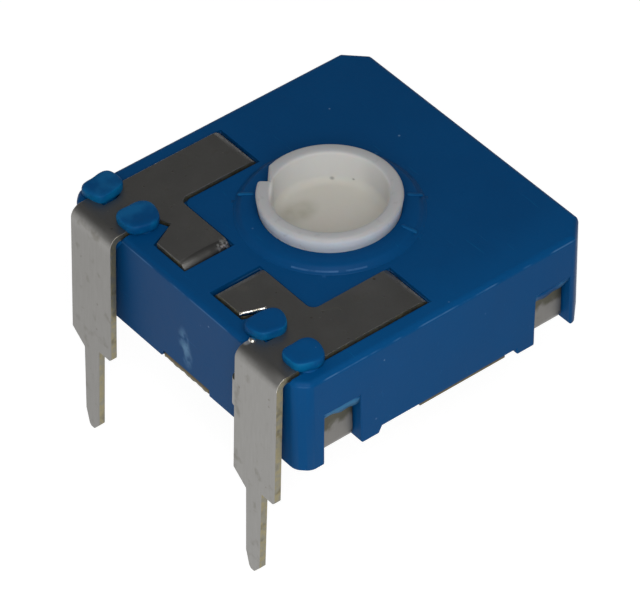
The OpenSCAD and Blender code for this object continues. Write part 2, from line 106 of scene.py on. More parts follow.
# %% [markdown]
# ## Wires: shader maths as plain expressions
# A finish is a network of nodes, and a long network is hard to read. A `Wire` stands for one
# value in it. It knows the sums that the finishes use, so `1 - mask * 0.4` adds its own Math
# nodes. Everything else goes through one method, `Finish.node`.

# %% Wire and Finish
class Wire:
    """One value that flows through a finish."""

    def __init__(self, finish, socket):
        self.finish, self.socket = finish, socket

    def maths(self, operation, *values):
        return self.finish.node("ShaderNodeMath", {"operation": operation}, dict(enumerate(values)))

    def __add__(self, other):
        return self.maths("ADD", self, other)

    def __mul__(self, other):
        return self.maths("MULTIPLY", self, other)

    def __sub__(self, other):
        return self.maths("SUBTRACT", self, other)

    def __rsub__(self, other):
        return self.maths("SUBTRACT", other, self)

    def __abs__(self):
        return self.maths("ABSOLUTE", self)

    __radd__, __rmul__ = __add__, __mul__


class Finish:
    """A material, its shader, and the methods that add its other nodes. Sizes, depths and
    places are given in millimetres, and heights count from the top face."""

    def __init__(self, name, **constants):
        self.material = bpy.data.materials.new(name)
        self.material.use_nodes = True
        self.tree = self.material.node_tree
        self.shader = self.tree.nodes["Principled BSDF"]
        for socket, value in constants.items():
            self.shader.inputs[socket.replace("_", " ")].default_value = value
        self.place = self.node("ShaderNodeTexCoord", {}, {}, out="Object")

    def node(self, kind, settings, sockets, out=0):
        made = self.tree.nodes.new(kind)
        for name, value in settings.items():
            setattr(made, name, value)
        for socket, value in sockets.items():
            if isinstance(value, Wire):
                self.tree.links.new(value.socket, made.inputs[socket])
            else:
                made.inputs[socket].default_value = value
        return Wire(self, made.outputs[out])

    def feed(self, **wires):
        """Feeds the shader and gives the finished material."""
        for socket, wire in wires.items():
            self.tree.links.new(wire.socket, self.shader.inputs[socket.replace("_", " ")])
        return self.material

    def moved(self, shift, stretch=(1, 1, 1)):
        """The place, stretched and then shifted, as a wire."""
        return self.node(
            "ShaderNodeMapping", {}, {"Vector": self.place, "Scale": stretch, "Location": shift})

    def cloud(self, size, detail=2.0, stretch=(1, 1, 1), shift=(0, 0, 0)):
        """Soft noise from 0 to 1, with patches of about the given size."""
        return self.node(
            "ShaderNodeTexNoise", {},
            {"Vector": self.moved(shift, stretch), "Scale": 1 / (size * MM), "Detail": detail})

    def dots(self, size, reach, shift=(0, 0, 0)):
        """A scatter of dots: 1 in each dot, 0 between them. Reach is a dot's share of its cell."""
        far = self.node(
            "ShaderNodeTexVoronoi", {}, {"Vector": self.moved(shift), "Scale": 1 / (size * MM)},
            out="Distance")
        return self.step(far, reach, reach * 0.6)

    def spot(self, middle, reach, soft=0.35):
        """1 inside an oval spot and 0 outside it. Its rim fades from reach to soft times reach."""
        x, y, z = middle
        middle = (x * MM, y * MM, roof_z + z * MM)
        stretch = tuple(1 / (r * MM) for r in reach)
        shift = tuple(-m * k for m, k in zip(middle, stretch))
        far = self.node(
            "ShaderNodeVectorMath", {"operation": "LENGTH"}, {0: self.moved(shift, stretch)},
            out="Value")
        return self.step(far, 1.0, soft)

    def along(self, axis):
        """The place along one axis in metres, counted from the origin, as a wire."""
        return self.node("ShaderNodeSeparateXYZ", {}, {0: self.place}, out=axis)

    def ramp(self, axis, start, end):
        """A soft step along an axis: 0 where the place is at start and 1 where it is at end."""
        zero = roof_z if axis == "Z" else 0
        return self.step(self.along(axis), zero + start * MM, zero + end * MM)

    def step(self, wire, start, end):
        """A soft step: 0 where the wire is at start and 1 where it reaches end."""
        return self.node(
            "ShaderNodeMapRange", {"interpolation_type": "SMOOTHSTEP"},
            {"Value": wire, "From Min": start, "From Max": end})

    def mix(self, share, first, second):
        """The first colour where share is 0 and the second where it is 1."""
        first, second = (c if isinstance(c, Wire) else (*c, 1) for c in (first, second))
        return self.node(
            "ShaderNodeMix", {"data_type": "RGBA"}, {0: share, 6: first, 7: second}, out=2)

    def coats(self, base, *layers):
        """The base colour under layers of others. Each layer is a share and a colour."""
        for share, tint in layers:
            base = self.mix(share, base, tint)
        return base

    def bump(self, height, depth, below=None):
        """Raises the surface by depth where height is 1. Bumps stack on the one below."""
        sockets = {"Height": height, "Distance": depth * MM}
        if below:
            sockets["Normal"] = below
        return self.node("ShaderNodeBump", {}, sockets)


print("wires are ready")

# %% [markdown]
# ## Blue plastic
# The housing is moulded in a filled plastic. Its colour is a little darker where the melt met,
# the skin has a fine grain, and there are specks of dust and short scratches. One wall has a
# pale smear where something rubbed it. The corners, the sides of the pressed heads, two of the
# heads, the marks on the dial, two arcs of its rim and the lip over each window are painted
# paler, as a painted highlight. The top is painted lighter towards the +X wall, as painted light,
# and a pale line below the top edge is a mould seam with a painted highlight. The pattern is
# solid: it is read from the place in the material, so it runs on over every corner without a seam.

# %% Housing finish
def blue_plastic(name, sheen_share, sheen_tint=(0.08, 0.21, 0.43)):
    """Sheen share is how much painted highlight, in the sheen tint, lies in patches over the
    colour.
    """
    f = Finish(name, IOR=1.5, Specular_IOR_Level=0.09)
    patches = f.cloud(3.4, 3)
    flow = f.cloud(1.1, 4, stretch=(1, 1, 0.45), shift=(0.3, 0.1, 0))
    grain = f.cloud(0.13, 3)
    dust = f.dots(1.25, 0.045) * f.step(f.cloud(2.4, 1), 0.45, 0.6)
    scratches = f.step(f.cloud(0.34, 2, stretch=(0.16, 2.4, 1), shift=(0.2, 0, 0)), 0.70, 0.76)
    smear = f.spot((-0.02, -7, -2.55), (0.42, 0.4, 0.8))
    smear = smear + f.spot((0.16, -7, -3.2), (0.4, 0.4, 0.75))
    smear = smear * f.step(f.cloud(0.5, 2, shift=(0.1, 0.2, 0.3)), 0.34, 0.56)
    # A pale line just below the top edge: a mould seam and a painted highlight of the rounded edge.
    seam_and_highlight = f.ramp("Z", -0.19, -0.155) * f.ramp("Z", -0.105, -0.14)
    seam_and_highlight = seam_and_highlight * f.step(f.cloud(1.3, 4, shift=(0.6, 0.4, 0.2)), 0.42, 0.60)
    # sheen: patches of paler colour, a painted highlight on corners, head sides, dial marks and
    # lips.
    sheen = f.step(f.cloud(0.9, 3, shift=(0.5, 0.2, 0.1)), 0.35, 0.65)
    # Painted light: the top is lighter towards the +X wall.
    lit_towards_x = f.step(f.along("X") + patches * (1.2 * MM), 4.9 * MM, 7.2 * MM)
    blue = f.coats(
        f.mix(patches, (0.0, 0.050, 0.168), (0.0, 0.065, 0.208)),
        (lit_towards_x * 0.30, (0.0, 0.092, 0.29)),
        (flow * 0.22, (0.0, 0.039, 0.135)),
        (grain * 0.16, (0.0, 0.105, 0.29)),
        (scratches * 0.2, (0.0, 0.14, 0.33)),
        (seam_and_highlight * 0.5, (0.09, 0.22, 0.42)),
        (dust * 0.6, (0.16, 0.29, 0.45)),
        (smear * 0.62, (0.13, 0.27, 0.45)),
        (sheen * sheen_share, sheen_tint),
    )
    return f.feed(
        Base_Color=blue,
        Roughness=0.40 + patches * 0.10 + grain * 0.10 + smear * 0.1,
        Normal=f.bump(grain, 0.003, f.bump(flow, 0.012, f.bump(scratches, -0.003))),
    )


blue = blue_plastic("blue_plastic", 0.0)
# The corner, head side, sheen and lip finishes are paler where light would catch: a painted
# highlight.
blue_corner = blue_plastic("blue_plastic_corner", 0.5)
blue_head_side_lit = blue_plastic("blue_plastic_pressed", 0.75, (0.0, 0.13, 0.30))
blue_sheen = blue_plastic("blue_plastic_mark", 0.4, (0.01, 0.16, 0.37))
blue_lip_sheen = blue_plastic("blue_plastic_lip", 1.8, (0.04, 0.18, 0.36))
print("made", ", ".join(m.name for m in (blue, blue_corner, blue_head_side_lit, blue_sheen, blue_lip_sheen)))

# %% [markdown]
# ## White plastic
# The rotor is an undyed moulding. Its recess is painted brighter than the outside, as painted
# light, with its floor painted darker and warmer than its walls and a little painted shade on the
# far inner wall. The outer wall and the side towards the camera are painted lighter, as painted
# light. A little light enters the skin, which softens its shadows. Two small grey smudges and a
# yellowish stain stay where tools have touched it.

# %% Rotor finish
def white_plastic():
    f = Finish(
        "white_plastic", IOR=1.5, Specular_IOR_Level=0.2, Subsurface_Weight=0.15,
        Subsurface_Scale=0.3 * MM)
    patches = f.cloud(1.9, 3)
    marks = f.cloud(0.5, 4)
    grain = f.cloud(0.1, 3)
    # inside: the recess, which is painted brighter than the outside, as painted light.
    inside = f.spot((0, 0, 0), (2.35, 2.35, 9), soft=0.955)
    # low: the floor of the recess, painted darker and warmer than its walls, as painted shade.
    low = f.ramp("Z", -0.1, -0.45)
    smudges = f.spot((-1.62, 1.42, -0.3), (0.17, 0.12, 0.09))
    smudges = smudges + f.spot((-1.05, 2.0, -0.25), (0.08, 0.08, 0.06))
    stain = f.spot((-1.12, -0.62, -0.4), (0.75, 1.1, 0.5))
    shade = f.spot((0.3, 2.25, 0.2), (1.3, 0.85, 1.6))
    # Painted light: the side towards the camera is lighter.
    towards_camera = f.along("X") * 0.78 - f.along("Y") * 0.63
    lit_near = f.step(towards_camera, -1.5 * MM, 2.6 * MM)
    # side: the outer wall of the collar, painted lighter as painted light.
    side = f.step(f.along("Z"), collar_z - 0.05 * MM, collar_z - 0.18 * MM) * (1 - inside)
    nicks = f.step(f.cloud(0.3, 3, shift=(0.15, 0.35, 0.1)), 0.60, 0.72) * (1 - inside)
    white = f.coats(
        f.mix(patches, (0.435, 0.44, 0.452), (0.475, 0.48, 0.49)),
        (marks * 0.3, (0.40, 0.40, 0.395)),
        (lit_near * 0.25, (0.52, 0.525, 0.535)),
        (side * 0.95, (0.62, 0.655, 0.71)),
        (nicks * 0.3, (0.33, 0.33, 0.335)),
        (inside * 0.9, (0.67, 0.665, 0.645)),
        (low * 0.75, (0.585, 0.56, 0.495)),
        (shade * inside * 0.3, (0.40, 0.40, 0.40)),
        (stain * marks * 0.7, (0.33, 0.32, 0.235)),
        (smudges * 0.65, (0.16, 0.165, 0.155)),
    )
    return f.feed(
        Base_Color=white,
        Roughness=0.44 + marks * 0.12 + grain * 0.08,
        Normal=f.bump(grain, 0.003, f.bump(marks, 0.012)),
    )


white = white_plastic()
print("made", white.name)

# %% [markdown]
# ## Tinned sheet and its cut edges
# The terminals are stamped from brass strip that is tinned before it is cut. So the faces are
# dull grey tin with long rolling marks, stains and small dents, while the cut edges show bare
# brass with a smear of tin that the punch dragged over them. A third finish is for the few
# edges that a tool rubbed bright.

# %% Tin and brass
def tinned_sheet():
    f = Finish("tinned_sheet", Metallic=1.0)
    patches = f.cloud(1.3, 4)
    stains = f.step(f.cloud(0.62, 3, shift=(0.4, 0.1, 0.2)), 0.58, 0.74)
    streaks = f.cloud(0.34, 3, stretch=(3.2, 3.2, 0.35))
    pits = f.dots(0.6, 0.10)
    dents = f.cloud(1.6, 1, shift=(0.2, 0.6, 0.1))
    # Painted shade: the tabs in the windows are darker, and darkest at their tops under the
    # windows' upper edges.
    shaded_tab = f.step(abs(f.along("X")), 6.3 * MM, 6.5 * MM) * f.ramp("Z", -0.8, -1.2)
    ragged = f.cloud(0.6, 3, shift=(0.3, 0.7, 0.5)) * (0.9 * MM)
    tab_top_shadow = f.step(f.along("Z") + ragged, feet_z + 1.55 * MM, feet_z + 1.85 * MM)
    level = f.step(f.along("Z"), plate_z - 0.03 * MM, plate_z - 0.01 * MM)
    bits = f.dots(0.55, 0.07, shift=(0.3, 0.1, 0.2)) * level
    # Painted shade: the rolled end of the left plate is darker.
    roll = f.spot((-0.98, -5.1, 0.02), (0.3, 1.7, 0.6), 0.8)
    # Painted highlight: a bright spot beside the rolled end.
    sheen = f.spot((-0.98, -4.25, 0), (0.4, 0.45, 0.4))
    sheen = sheen * f.step(f.cloud(0.16, 3, shift=(0.1, 0.2, 0.4)), 0.42, 0.6)
    # Painted highlight: a bright glint on the right strip's bend.
    glint = f.spot((3.84, -6.98, 0.12), (0.16, 0.2, 0.2))
    # Painted shade: the left strip is darker below the top.
    left_strip_shade = f.ramp("X", -3.5, -3.8) * f.ramp("Z", -0.3, -0.8)
    grey = f.spot((-5.84, -7.3, -5.08), (0.28, 0.7, 0.26))
    brown = f.spot((3.2, -7.3, -2.42), (0.12, 0.7, 0.14))
    brown = brown + f.spot((4.12, -1.23, 0.12), (0.08, 0.08, 0.2))
    tin = f.coats(
        f.mix(patches, (0.268, 0.263, 0.252), (0.322, 0.317, 0.306)),
        (streaks * 0.4, (0.245, 0.238, 0.220)),
        (stains * 0.3, (0.19, 0.175, 0.14)),
        (pits * 0.5, (0.15, 0.135, 0.11)),
        (shaded_tab * 0.7, (0.165, 0.158, 0.148)),
        (shaded_tab * tab_top_shadow * 0.9, (0.075, 0.072, 0.050)),
        (bits * 0.35, (0.55, 0.54, 0.50)),
        (roll * 0.8, (0.13, 0.128, 0.122)),
        (sheen * 0.9, (0.80, 0.79, 0.76)),
        (glint, (0.86, 0.86, 0.86)),
        (left_strip_shade * 0.14, (0.10, 0.092, 0.08)),
        (grey * 0.5, (0.16, 0.155, 0.145)),
        (brown * 0.7, (0.12, 0.085, 0.05)),
    )
    return f.feed(
        Base_Color=tin,
        Roughness=0.34 + patches * 0.14 + streaks * 0.10 + stains * 0.12,
        Normal=f.bump(streaks, 0.004, f.bump(pits, -0.008, f.bump(dents, 0.03))),
    )


def cut_brass():
    f = Finish("cut_brass", Metallic=1.0)
    smear = f.step(f.cloud(0.3, 3), 0.44, 0.60)
    tears = f.cloud(0.07, 2, stretch=(1, 1, 0.5))
    dark = f.step(f.cloud(0.55, 3, shift=(0.7, 0, 0)), 0.55, 0.7)
    height = f.along("Z")
    # Painted shade: the cut edges at the housing's feet, under the body, are darker.
    under_housing_shade = f.step(height, feet_z + 0.36 * MM, feet_z + 0.31 * MM)
    under_housing_shade = under_housing_shade * f.step(height, feet_z - 0.08 * MM, feet_z - 0.03 * MM)
    under_housing_shade = under_housing_shade * f.ramp("Y", -7.06, -7.01) * f.ramp("Y", 6.9, 6.8)
    brass = f.coats(
        f.mix(smear, (0.32, 0.285, 0.18), (0.275, 0.26, 0.205)),
        (dark * 0.5, (0.11, 0.09, 0.055)),
        (under_housing_shade * 0.85, (0.11, 0.088, 0.047)),
    )
    return f.feed(Base_Color=brass, Roughness=0.42 + tears * 0.25, Normal=f.bump(tears, 0.014))


def burnished():
    """Where the punch or the bending tool rubbed the sheet, it shines."""
    f = Finish("burnished_edge", Metallic=1.0)
    dull = f.step(f.cloud(0.25, 3, shift=(0.2, 0.5, 0)), 0.5, 0.7)
    bright = f.mix(dull, (0.86, 0.84, 0.78), (0.45, 0.40, 0.30))
    return f.feed(Base_Color=bright, Roughness=0.2 + dull * 0.25, Normal=f.bump(dull, 0.006))


tin, brass, bright = tinned_sheet(), cut_brass(), burnished()
print("made", tin.name, brass.name, bright.name)

# %% [markdown]
# ## Card, track and spring
# These lie inside and seldom show, but they have their real finish too: a brown laminated card
# with paper fibres, a matt black carbon print, and a bright rolled spring sheet.

# %% Card, carbon and spring
def laminated_card():
    f = Finish("laminated_card", IOR=1.5)
    fibres = f.cloud(0.25, 4, stretch=(1, 5, 1))
    patches = f.cloud(1.8, 2)
    brown = f.mix(fibres, (0.16, 0.07, 0.025), (0.27, 0.13, 0.05))
    brown = f.mix(patches * 0.3, brown, (0.11, 0.045, 0.015))
    return f.feed(Base_Color=brown, Roughness=0.4 + fibres * 0.2, Normal=f.bump(fibres, 0.006))


def carbon_print():
    f = Finish("carbon_print", IOR=1.6)
    grains = f.cloud(0.05, 3)
    patches = f.cloud(0.9, 2)
    black = f.mix(patches, (0.012, 0.012, 0.013), (0.03, 0.03, 0.032))
    return f.feed(Base_Color=black, Roughness=0.35 + grains * 0.3, Normal=f.bump(grains, 0.004))


def spring_sheet():
    f = Finish("spring_sheet", Metallic=1.0)
    streaks = f.cloud(0.3, 3, stretch=(0.4, 8, 1))
    patches = f.cloud(1.2, 2)
    nickel = f.mix(patches, (0.50, 0.48, 0.43), (0.60, 0.58, 0.54))
    return f.feed(Base_Color=nickel, Roughness=0.22 + streaks * 0.2, Normal=f.bump(streaks, 0.003))


card, carbon, nickel = laminated_card(), carbon_print(), spring_sheet()
print("made", card.name, carbon.name, nickel.name)

# %% [markdown]
# ## Soft corners
# The frame's meshes have perfectly sharp corners, and nothing real has. A sharp corner catches
# no light, so it looks like a drawing. Each shown piece is therefore a copy of its node: the
# loose triangles are merged, flat faces become whole again, and every corner gets a small
# bevel, which may have a finish of its own. The weighted normals keep the flat faces flat.

# %% Copies with soft corners
def joined(mesh):
    """A net of the mesh in which the loose triangles are joined into flat faces."""
    bm = bmesh.new()
    bm.from_mesh(mesh)
    bmesh.ops.remove_doubles(bm, verts=bm.verts, dist=0.001 * MM)
    bmesh.ops.dissolve_limit(
        bm, angle_limit=math.radians(0.5), verts=bm.verts, edges=bm.edges)
    return bm


def stored(bm, mesh):
    """The mesh with the net written into it."""
    bm.to_mesh(mesh)
    bm.free()
    return mesh


def merged_copy(node):
    """A clean copy of a node's mesh with its triangles joined, and without its material."""
    mesh = frame["nodes"][node].data.copy()
    mesh.materials.clear()
    return stored(joined(mesh), mesh)


def baked(thing):
    """The object, with its modifiers worked into its mesh."""
    graph = bpy.context.evaluated_depsgraph_get()
    mesh = bpy.data.meshes.new_from_object(thing.evaluated_get(graph))
    thing.modifiers.clear()
    thing.data = mesh
    return thing


def placed(name, mesh):
    """A smooth-shaded object that shows the mesh."""
    mesh.shade_smooth()
    return shown(name, mesh)


def softened(name, mesh, radius, corner_finish=0, reshape=None):
    """A piece from the mesh, with each corner rounded and its flat faces kept flat. A rule that
    reshapes the rounded mesh may run in between."""
    piece = placed(name, mesh)
    bevel = piece.modifiers.new("soft corners", "BEVEL")
    bevel.width, bevel.segments = radius, 2
    bevel.limit_method, bevel.angle_limit = "ANGLE", math.radians(28)
    bevel.miter_outer = "MITER_ARC"
    bevel.use_clamp_overlap = True
    bevel.material = corner_finish
    baked(piece)
    if reshape:
        reshape(piece.data)
    weights = piece.modifiers.new("flat faces stay flat", "WEIGHTED_NORMAL")
    weights.keep_sharp = False
    weights.weight = 100
    return baked(piece)


def coat(piece, *materials, pick=None):
    """Gives the piece its materials. Pick is a rule that gives the number of a face's own."""
    for material in materials:
        piece.data.materials.append(material)
    if pick:
        for face in piece.data.polygons:
            face.material_index = int(pick(face))


def ride_on(piece, body, slot, *nodes):
    """The piece moves with the body and stands for the nodes, if it stands for any."""
    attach(piece, body)
    if nodes:
        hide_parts(*nodes)
    print(piece.name, "has", len(piece.data.polygons), "faces")

# %% [markdown]
# ## The housing
# The box is a copy of its node. Its top edge is rounded again, wider than in the frame, and its
# upright corners are rounded too, as the mould left them. The dial round the rotor and the four
# rivet heads are made again below, because their shapes are not straight. The copy's own dial
# and heads are pressed nearly flat, so that the new ones cover them and the copy stays closed.

# %% Housing piece
tiny = 0.003 * MM
dial_r = 3.6 * MM
post_places = [x * MM for x in (-6.06, -3.76, 3.76, 6.06)]
post_y, head_reach = -5.94 * MM, 1.15 * MM
front_cut, rear_cut = 0.45 * MM, 0.85 * MM
old_rim, old_gap, new_gap = 0.18 * MM, 0.15 * MM, 0.03 * MM


def press_flat(mesh, level, share, reach, middle, widest, foot):
    """Brings every point above the level and within reach of the middle down to a share of its
    rise, and no further out than the widest radius. Points in the level only follow when they
    are within the foot's radius."""
    for point in mesh.vertices:
        x, y = point.co.x - middle[0], point.co.y - middle[1]
        out, rise = math.hypot(x, y), point.co.z - level
        if rise > -tiny and out < (reach if rise > tiny else foot):
            point.co.z = level + rise * share
            if out > widest:
                point.co.x = middle[0] + x * widest / out
                point.co.y = middle[1] + y * widest / out


def press_forms(mesh):
    """Presses the copy's own dial and heads nearly flat."""
    press_flat(
        mesh, roof_z, 0.04, dial_r + 0.5 * MM, (0, 0), dial_r - 0.15 * MM, dial_r + 0.05 * MM)
    for x in post_places:
        press_flat(mesh, plate_z, 0.05, head_reach, (x, post_y), 0.32 * MM, head_reach)


def cut_sum(point):
    """What x and y, both without their sign, add up to on the cut corner near the point."""
    return wall_x + wall_y - (front_cut if point.y < 0 else rear_cut)


def on_cut(point):
    """True where a point lies on one of the four cut corners."""
    return abs(point.x) + abs(point.y) > cut_sum(point) - tiny


def squared_rim(mesh):
    """Takes the frame's small rounding off the top edge, so that a wider one can replace it."""
    for vertex in mesh.vertices:
        point = vertex.co
        if point.z < roof_z - old_rim + tiny:
            continue
        for axis, wall in ((0, wall_x), (1, wall_y)):
            if abs(point[axis]) > wall - old_rim - tiny:
                slides, limit = on_cut(point), cut_sum(point)
                point[axis] = math.copysign(wall, point[axis])
                if slides:
                    point[1 - axis] = math.copysign(limit - wall, point[1 - axis])
                point.z = roof_z
                break


def closer_pockets(mesh):
    """Brings the end walls of the plates' pockets nearer to the plates."""
    arm_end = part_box("end_terminal_right")[1].y
    for vertex in mesh.vertices:
        point = vertex.co
        in_pocket = 3.8 * MM < abs(point.x) < 6.4 * MM
        if in_pocket and arm_end + tiny < point.y < arm_end + old_gap:
            point.y = arm_end + new_gap


def rounded_rim(mesh, rim, front, rear, jamb, foot):
    """Rounds the top edge, the upright corners, and the upright and level edges of the windows
    and feet, each by its own radius."""
    bm = joined(mesh)
    weights = bm.edges.layers.float.new("bevel_weight_edge")
    for edge in bm.edges:
        ends = [v.co for v in edge.verts]
        low = all(p.z < roof_z - 0.6 * MM for p in ends)
        along = ends[0] - ends[1]
        upright = along.xy.length < tiny
        for axis, wall in ((0, wall_x), (1, wall_y)):
            at_wall = any(abs(p[axis]) > wall - tiny for p in ends)
            if low and at_wall and abs(along[axis]) > max(0.25 * MM, 0.999 * along.length):
                edge[weights] = foot / rim
        outside = [
            abs(p.x) > wall_x - tiny or abs(p.y) > wall_y - tiny or on_cut(p) for p in ends]
        if not all(outside):
            continue
        if all(p.z > roof_z - tiny for p in ends):
            edge[weights] = 1.0
        elif upright and all(on_cut(p) for p in ends):
            edge[weights] = (front if ends[0].y < 0 else rear) / rim
        elif upright and low:
            edge[weights] = jamb / rim
    piece = placed("rim", stored(bm, mesh))
    bevel = piece.modifiers.new("wide rounding", "BEVEL")
    bevel.width, bevel.segments, bevel.limit_method = rim, 5, "WEIGHT"
    bevel.use_clamp_overlap = False
    mesh = baked(piece).data
    bpy.data.objects.remove(piece)
    return mesh


moulding = merged_copy("housing")
squared_rim(moulding)
closer_pockets(moulding)
moulding = rounded_rim(
    moulding, rim=0.24 * MM, front=0.20 * MM, rear=0.12 * MM, jamb=0.07 * MM, foot=0.08 * MM)
# The pale corner finish on the rounded corners is a painted highlight.
housing = softened(
    "housing_moulding", moulding, 0.05 * MM, corner_finish=1, reshape=press_forms)
coat(housing, blue, blue_corner)
ride_on(housing, "housing", "housing_plastic", "housing")

# %% [markdown]
# ## The windows' lips
# The mould closes over each window in the side walls, and a thin skin of plastic has crept into
# the joint. It hangs from the window's upper edge as an uneven lip, whose pale colour is a painted
# highlight. A lip is a small section that runs along the window while its lower edge rises and
# falls.

# %% Lips piece
def facing_out(name, bm, mesh):
    """A piece from the net, with all its faces turned outwards."""
    bmesh.ops.recalc_face_normals(bm, faces=bm.faces)
    return placed(name, stored(bm, mesh))


def drawn_out(name, runs):
    """A piece made of closed bars. Each run is a list of outlines, joined one to the next."""
    bm = bmesh.new()
    for run in runs:
        sections = [[bm.verts.new(corner) for corner in outline] for outline in run]
        count = len(sections[0])
        for one, two in zip(sections, sections[1:]):
            for i in range(count):
                j = (i + 1) % count
                bm.faces.new((one[i], one[j], two[j], two[i]))
        bm.faces.new(sections[0])
        bm.faces.new(sections[-1])
    return facing_out(name, bm, bpy.data.meshes.new(name))


def evenly(start, end, steps):
    """Places from start to end with even steps between them."""
    return [start + (end - start) * i / steps for i in range(steps + 1)]


window_top = feet_z + 2.45 * MM
window_near, window_far = 4.18 * MM, 5.94 * MM


def lip_section(side, y):
    """The lip's outline at a place along the wall: flat above, with a rounded lower edge."""
    drop = 0.31 + 0.12 * math.sin(1.4 * y / MM + 7.7) + 0.03 * math.sin(8.3 * y / MM)
    outline = ((6.95, 0.04), (6.95, -0.5 * drop), (6.91, -drop), (6.85, -0.9 * drop), (6.82, 0.04))
    return [(side * x * MM, y, window_top + z * MM) for x, z in outline]


lip_runs = []
for side in (-1, 1):
    for start, end in ((-window_far, -window_near), (window_near, window_far)):
        lip_runs.append([lip_section(side, y) for y in evenly(start, end, steps=20)])
lips = drawn_out("window_lips", lip_runs)
# The lips' pale finish is a painted highlight.
coat(lips, blue_lip_sheen)
ride_on(lips, "housing", "housing_plastic")

# %% [markdown]
# ## Turned forms
# The dial, the rotor's collar and the rivet heads all come from one idea: a profile of
# heights, swept round a middle, whose radius may change with the angle. A Screw modifier can
# only turn a fixed profile. Here each ring of points asks a rule for its radius, so a step in
# the collar or the bulge of a squashed rivet is part of the same closed net.

# %% A net swept round an axis
def swept(name, angles, rings, middle=(0, 0), closed=False):
    """Rings are rules from an angle to (radius, z), inside to outside. Ends close with a cap."""
    points, faces, count = [], [], len(angles)
    for ring in rings:
        for angle in angles:
            radius, z = ring(angle)
            points.append((
                middle[0] + radius * math.cos(angle), middle[1] + radius * math.sin(angle), z))
    for k in range(len(rings) if closed else len(rings) - 1):
        one, two = k * count, (k + 1) % len(rings) * count
        for i in range(count):
            j = (i + 1) % count
            faces.append((one + i, one + j, two + j, two + i))
    if not closed:
        for k in (0, len(rings) - 1):
            cap = len(points)
            ring = points[k * count:(k + 1) * count]
            points.append(tuple(sum(c) / count for c in zip(*ring)))
            faces += [(cap, k * count + i, k * count + (i + 1) % count) for i in range(count)]
    mesh = bpy.data.meshes.new(name)
    mesh.from_pydata(points, [], faces)
    bm = bmesh.new()
    bm.from_mesh(mesh)
    return facing_out(name, bm, mesh)


def turn(count):
    """Even steps round a full turn, as angles."""
    return [math.tau * i / count for i in range(count)]


def arc(radius, z, curve, start, end, steps=4):
    """Rings along a fillet: from one angle to the other on a small circle, in degrees."""
    angles = [math.radians(a) for a in evenly(start, end, steps)]
    return [(radius + curve * math.cos(a), z + curve * math.sin(a)) for a in angles]


print("a quarter fillet has", len(arc(1, 0, 1, 0, 90)), "rings")

# %% [markdown]
# ## The collar
# The collar is the part of the rotor that stands out of the housing. A setting tool fits its
# round recess. A step in its wall shows where the slider stands, and the wall is pushed inwards
# behind the step. So the outer and the inner radius each follow a rule: a circle, cut by a
# flat between two angles.

# %% The rules of the collar's two walls
collar_r, recess_r = 2.7 * MM, 2.25 * MM
step_turn = math.radians(229.6)
outer_flat, inner_flat = 2.27 * MM, 2.13 * MM
outer_jump, inner_jump = 0.52 * MM, 0.20 * MM
inner_spread = math.radians(24)


def cut_circle(radius, flat, jump, spread=0):
    """A circle with a flat. The flat starts at a jump from the circle and runs back into it.
    The jump is a straight step, or a soft one when it has a spread of angle."""
    start = math.atan2(-jump, flat)
    leave = start + spread if spread else math.atan2(-jump, math.sqrt(radius ** 2 - jump ** 2))
    end = -math.acos(flat / radius)

    def rule(angle):
        a = math.remainder(angle - step_turn, math.tau)
        if end <= a <= start + 1e-9:
            return flat / math.cos(a)
        if start < a < leave - 1e-9:
            if not spread:
                return -jump / math.sin(a)
            share = (1 - math.cos(math.pi * (a - start) / spread)) / 2
            return flat / math.cos(start) * (1 - share) + radius * share
        return radius

    return rule, [step_turn + start, step_turn + leave]


outer_wall, outer_marks = cut_circle(collar_r, outer_flat, outer_jump)
inner_wall, inner_marks = cut_circle(recess_r, inner_flat, inner_jump, inner_spread)
collar_angles = sorted(a % math.tau for a in turn(192) + outer_marks + inner_marks)
print("the collar has", len(collar_angles), "steps")

# %% [markdown]
# The profile runs from the middle of the recess's floor up the inner wall, over the soft rim
# and down the outer wall to a foot inside the housing. The outer wall flares a little towards
# the rim. Below the dial's crown it is a plain circle again, because that is the bearing.

# %% Collar piece
floor_z, floor_round, foot_z = collar_z - 1.45 * MM, 0.32 * MM, roof_z - 0.85 * MM
bearing_z, flare = roof_z + 0.32 * MM, 0.08 * MM


def from_wall(wall, inset, z, plain=0, share=1):
    """A ring that follows the wall. A share below 1 brings it nearer to a plain radius."""
    return lambda angle: (plain * (1 - share) + wall(angle) * share + inset, z)


rings = [lambda a: (0.6 * MM, floor_z - 0.02 * MM), lambda a: (1.4 * MM, floor_z - 0.008 * MM)]
for inset, z in arc(-floor_round, floor_z + floor_round, floor_round, -90, 0, 6):
    rings.append(from_wall(inner_wall, inset, z, recess_r, 0.55))
for inset, z in arc(0.16 * MM, collar_z - 0.15 * MM, 0.15 * MM, 180, 95):
    rings.append(from_wall(inner_wall, inset - 0.01 * MM, z))
for inset, z in arc(flare - 0.16 * MM, collar_z - 0.16 * MM, 0.16 * MM, 80, 0, 5):
    rings.append(from_wall(outer_wall, inset, z))
rings += [
    from_wall(outer_wall, 0.02 * MM, bearing_z + 0.02 * MM),
    from_wall(outer_wall, 0, bearing_z),
    lambda a: (collar_r, bearing_z - 0.01 * MM),
    lambda a: (collar_r, foot_z + 0.05 * MM),
    lambda a: (collar_r - 0.05 * MM, foot_z),
]
collar = swept("rotor_collar", collar_angles, rings)
coat(collar, white)
collar.data.set_sharp_from_angle(angle=math.radians(42))
ride_on(collar, "rotor", "rotor_plastic", "rotor")

# %% [markdown]
# ## The rotor's hub
# Under the top wall the rotor widens to the hub and the flange that carries the slider. Those
# come from the node. A box cuts off the node's own collar with a Boolean modifier, and the new
# collar stands on what is left.

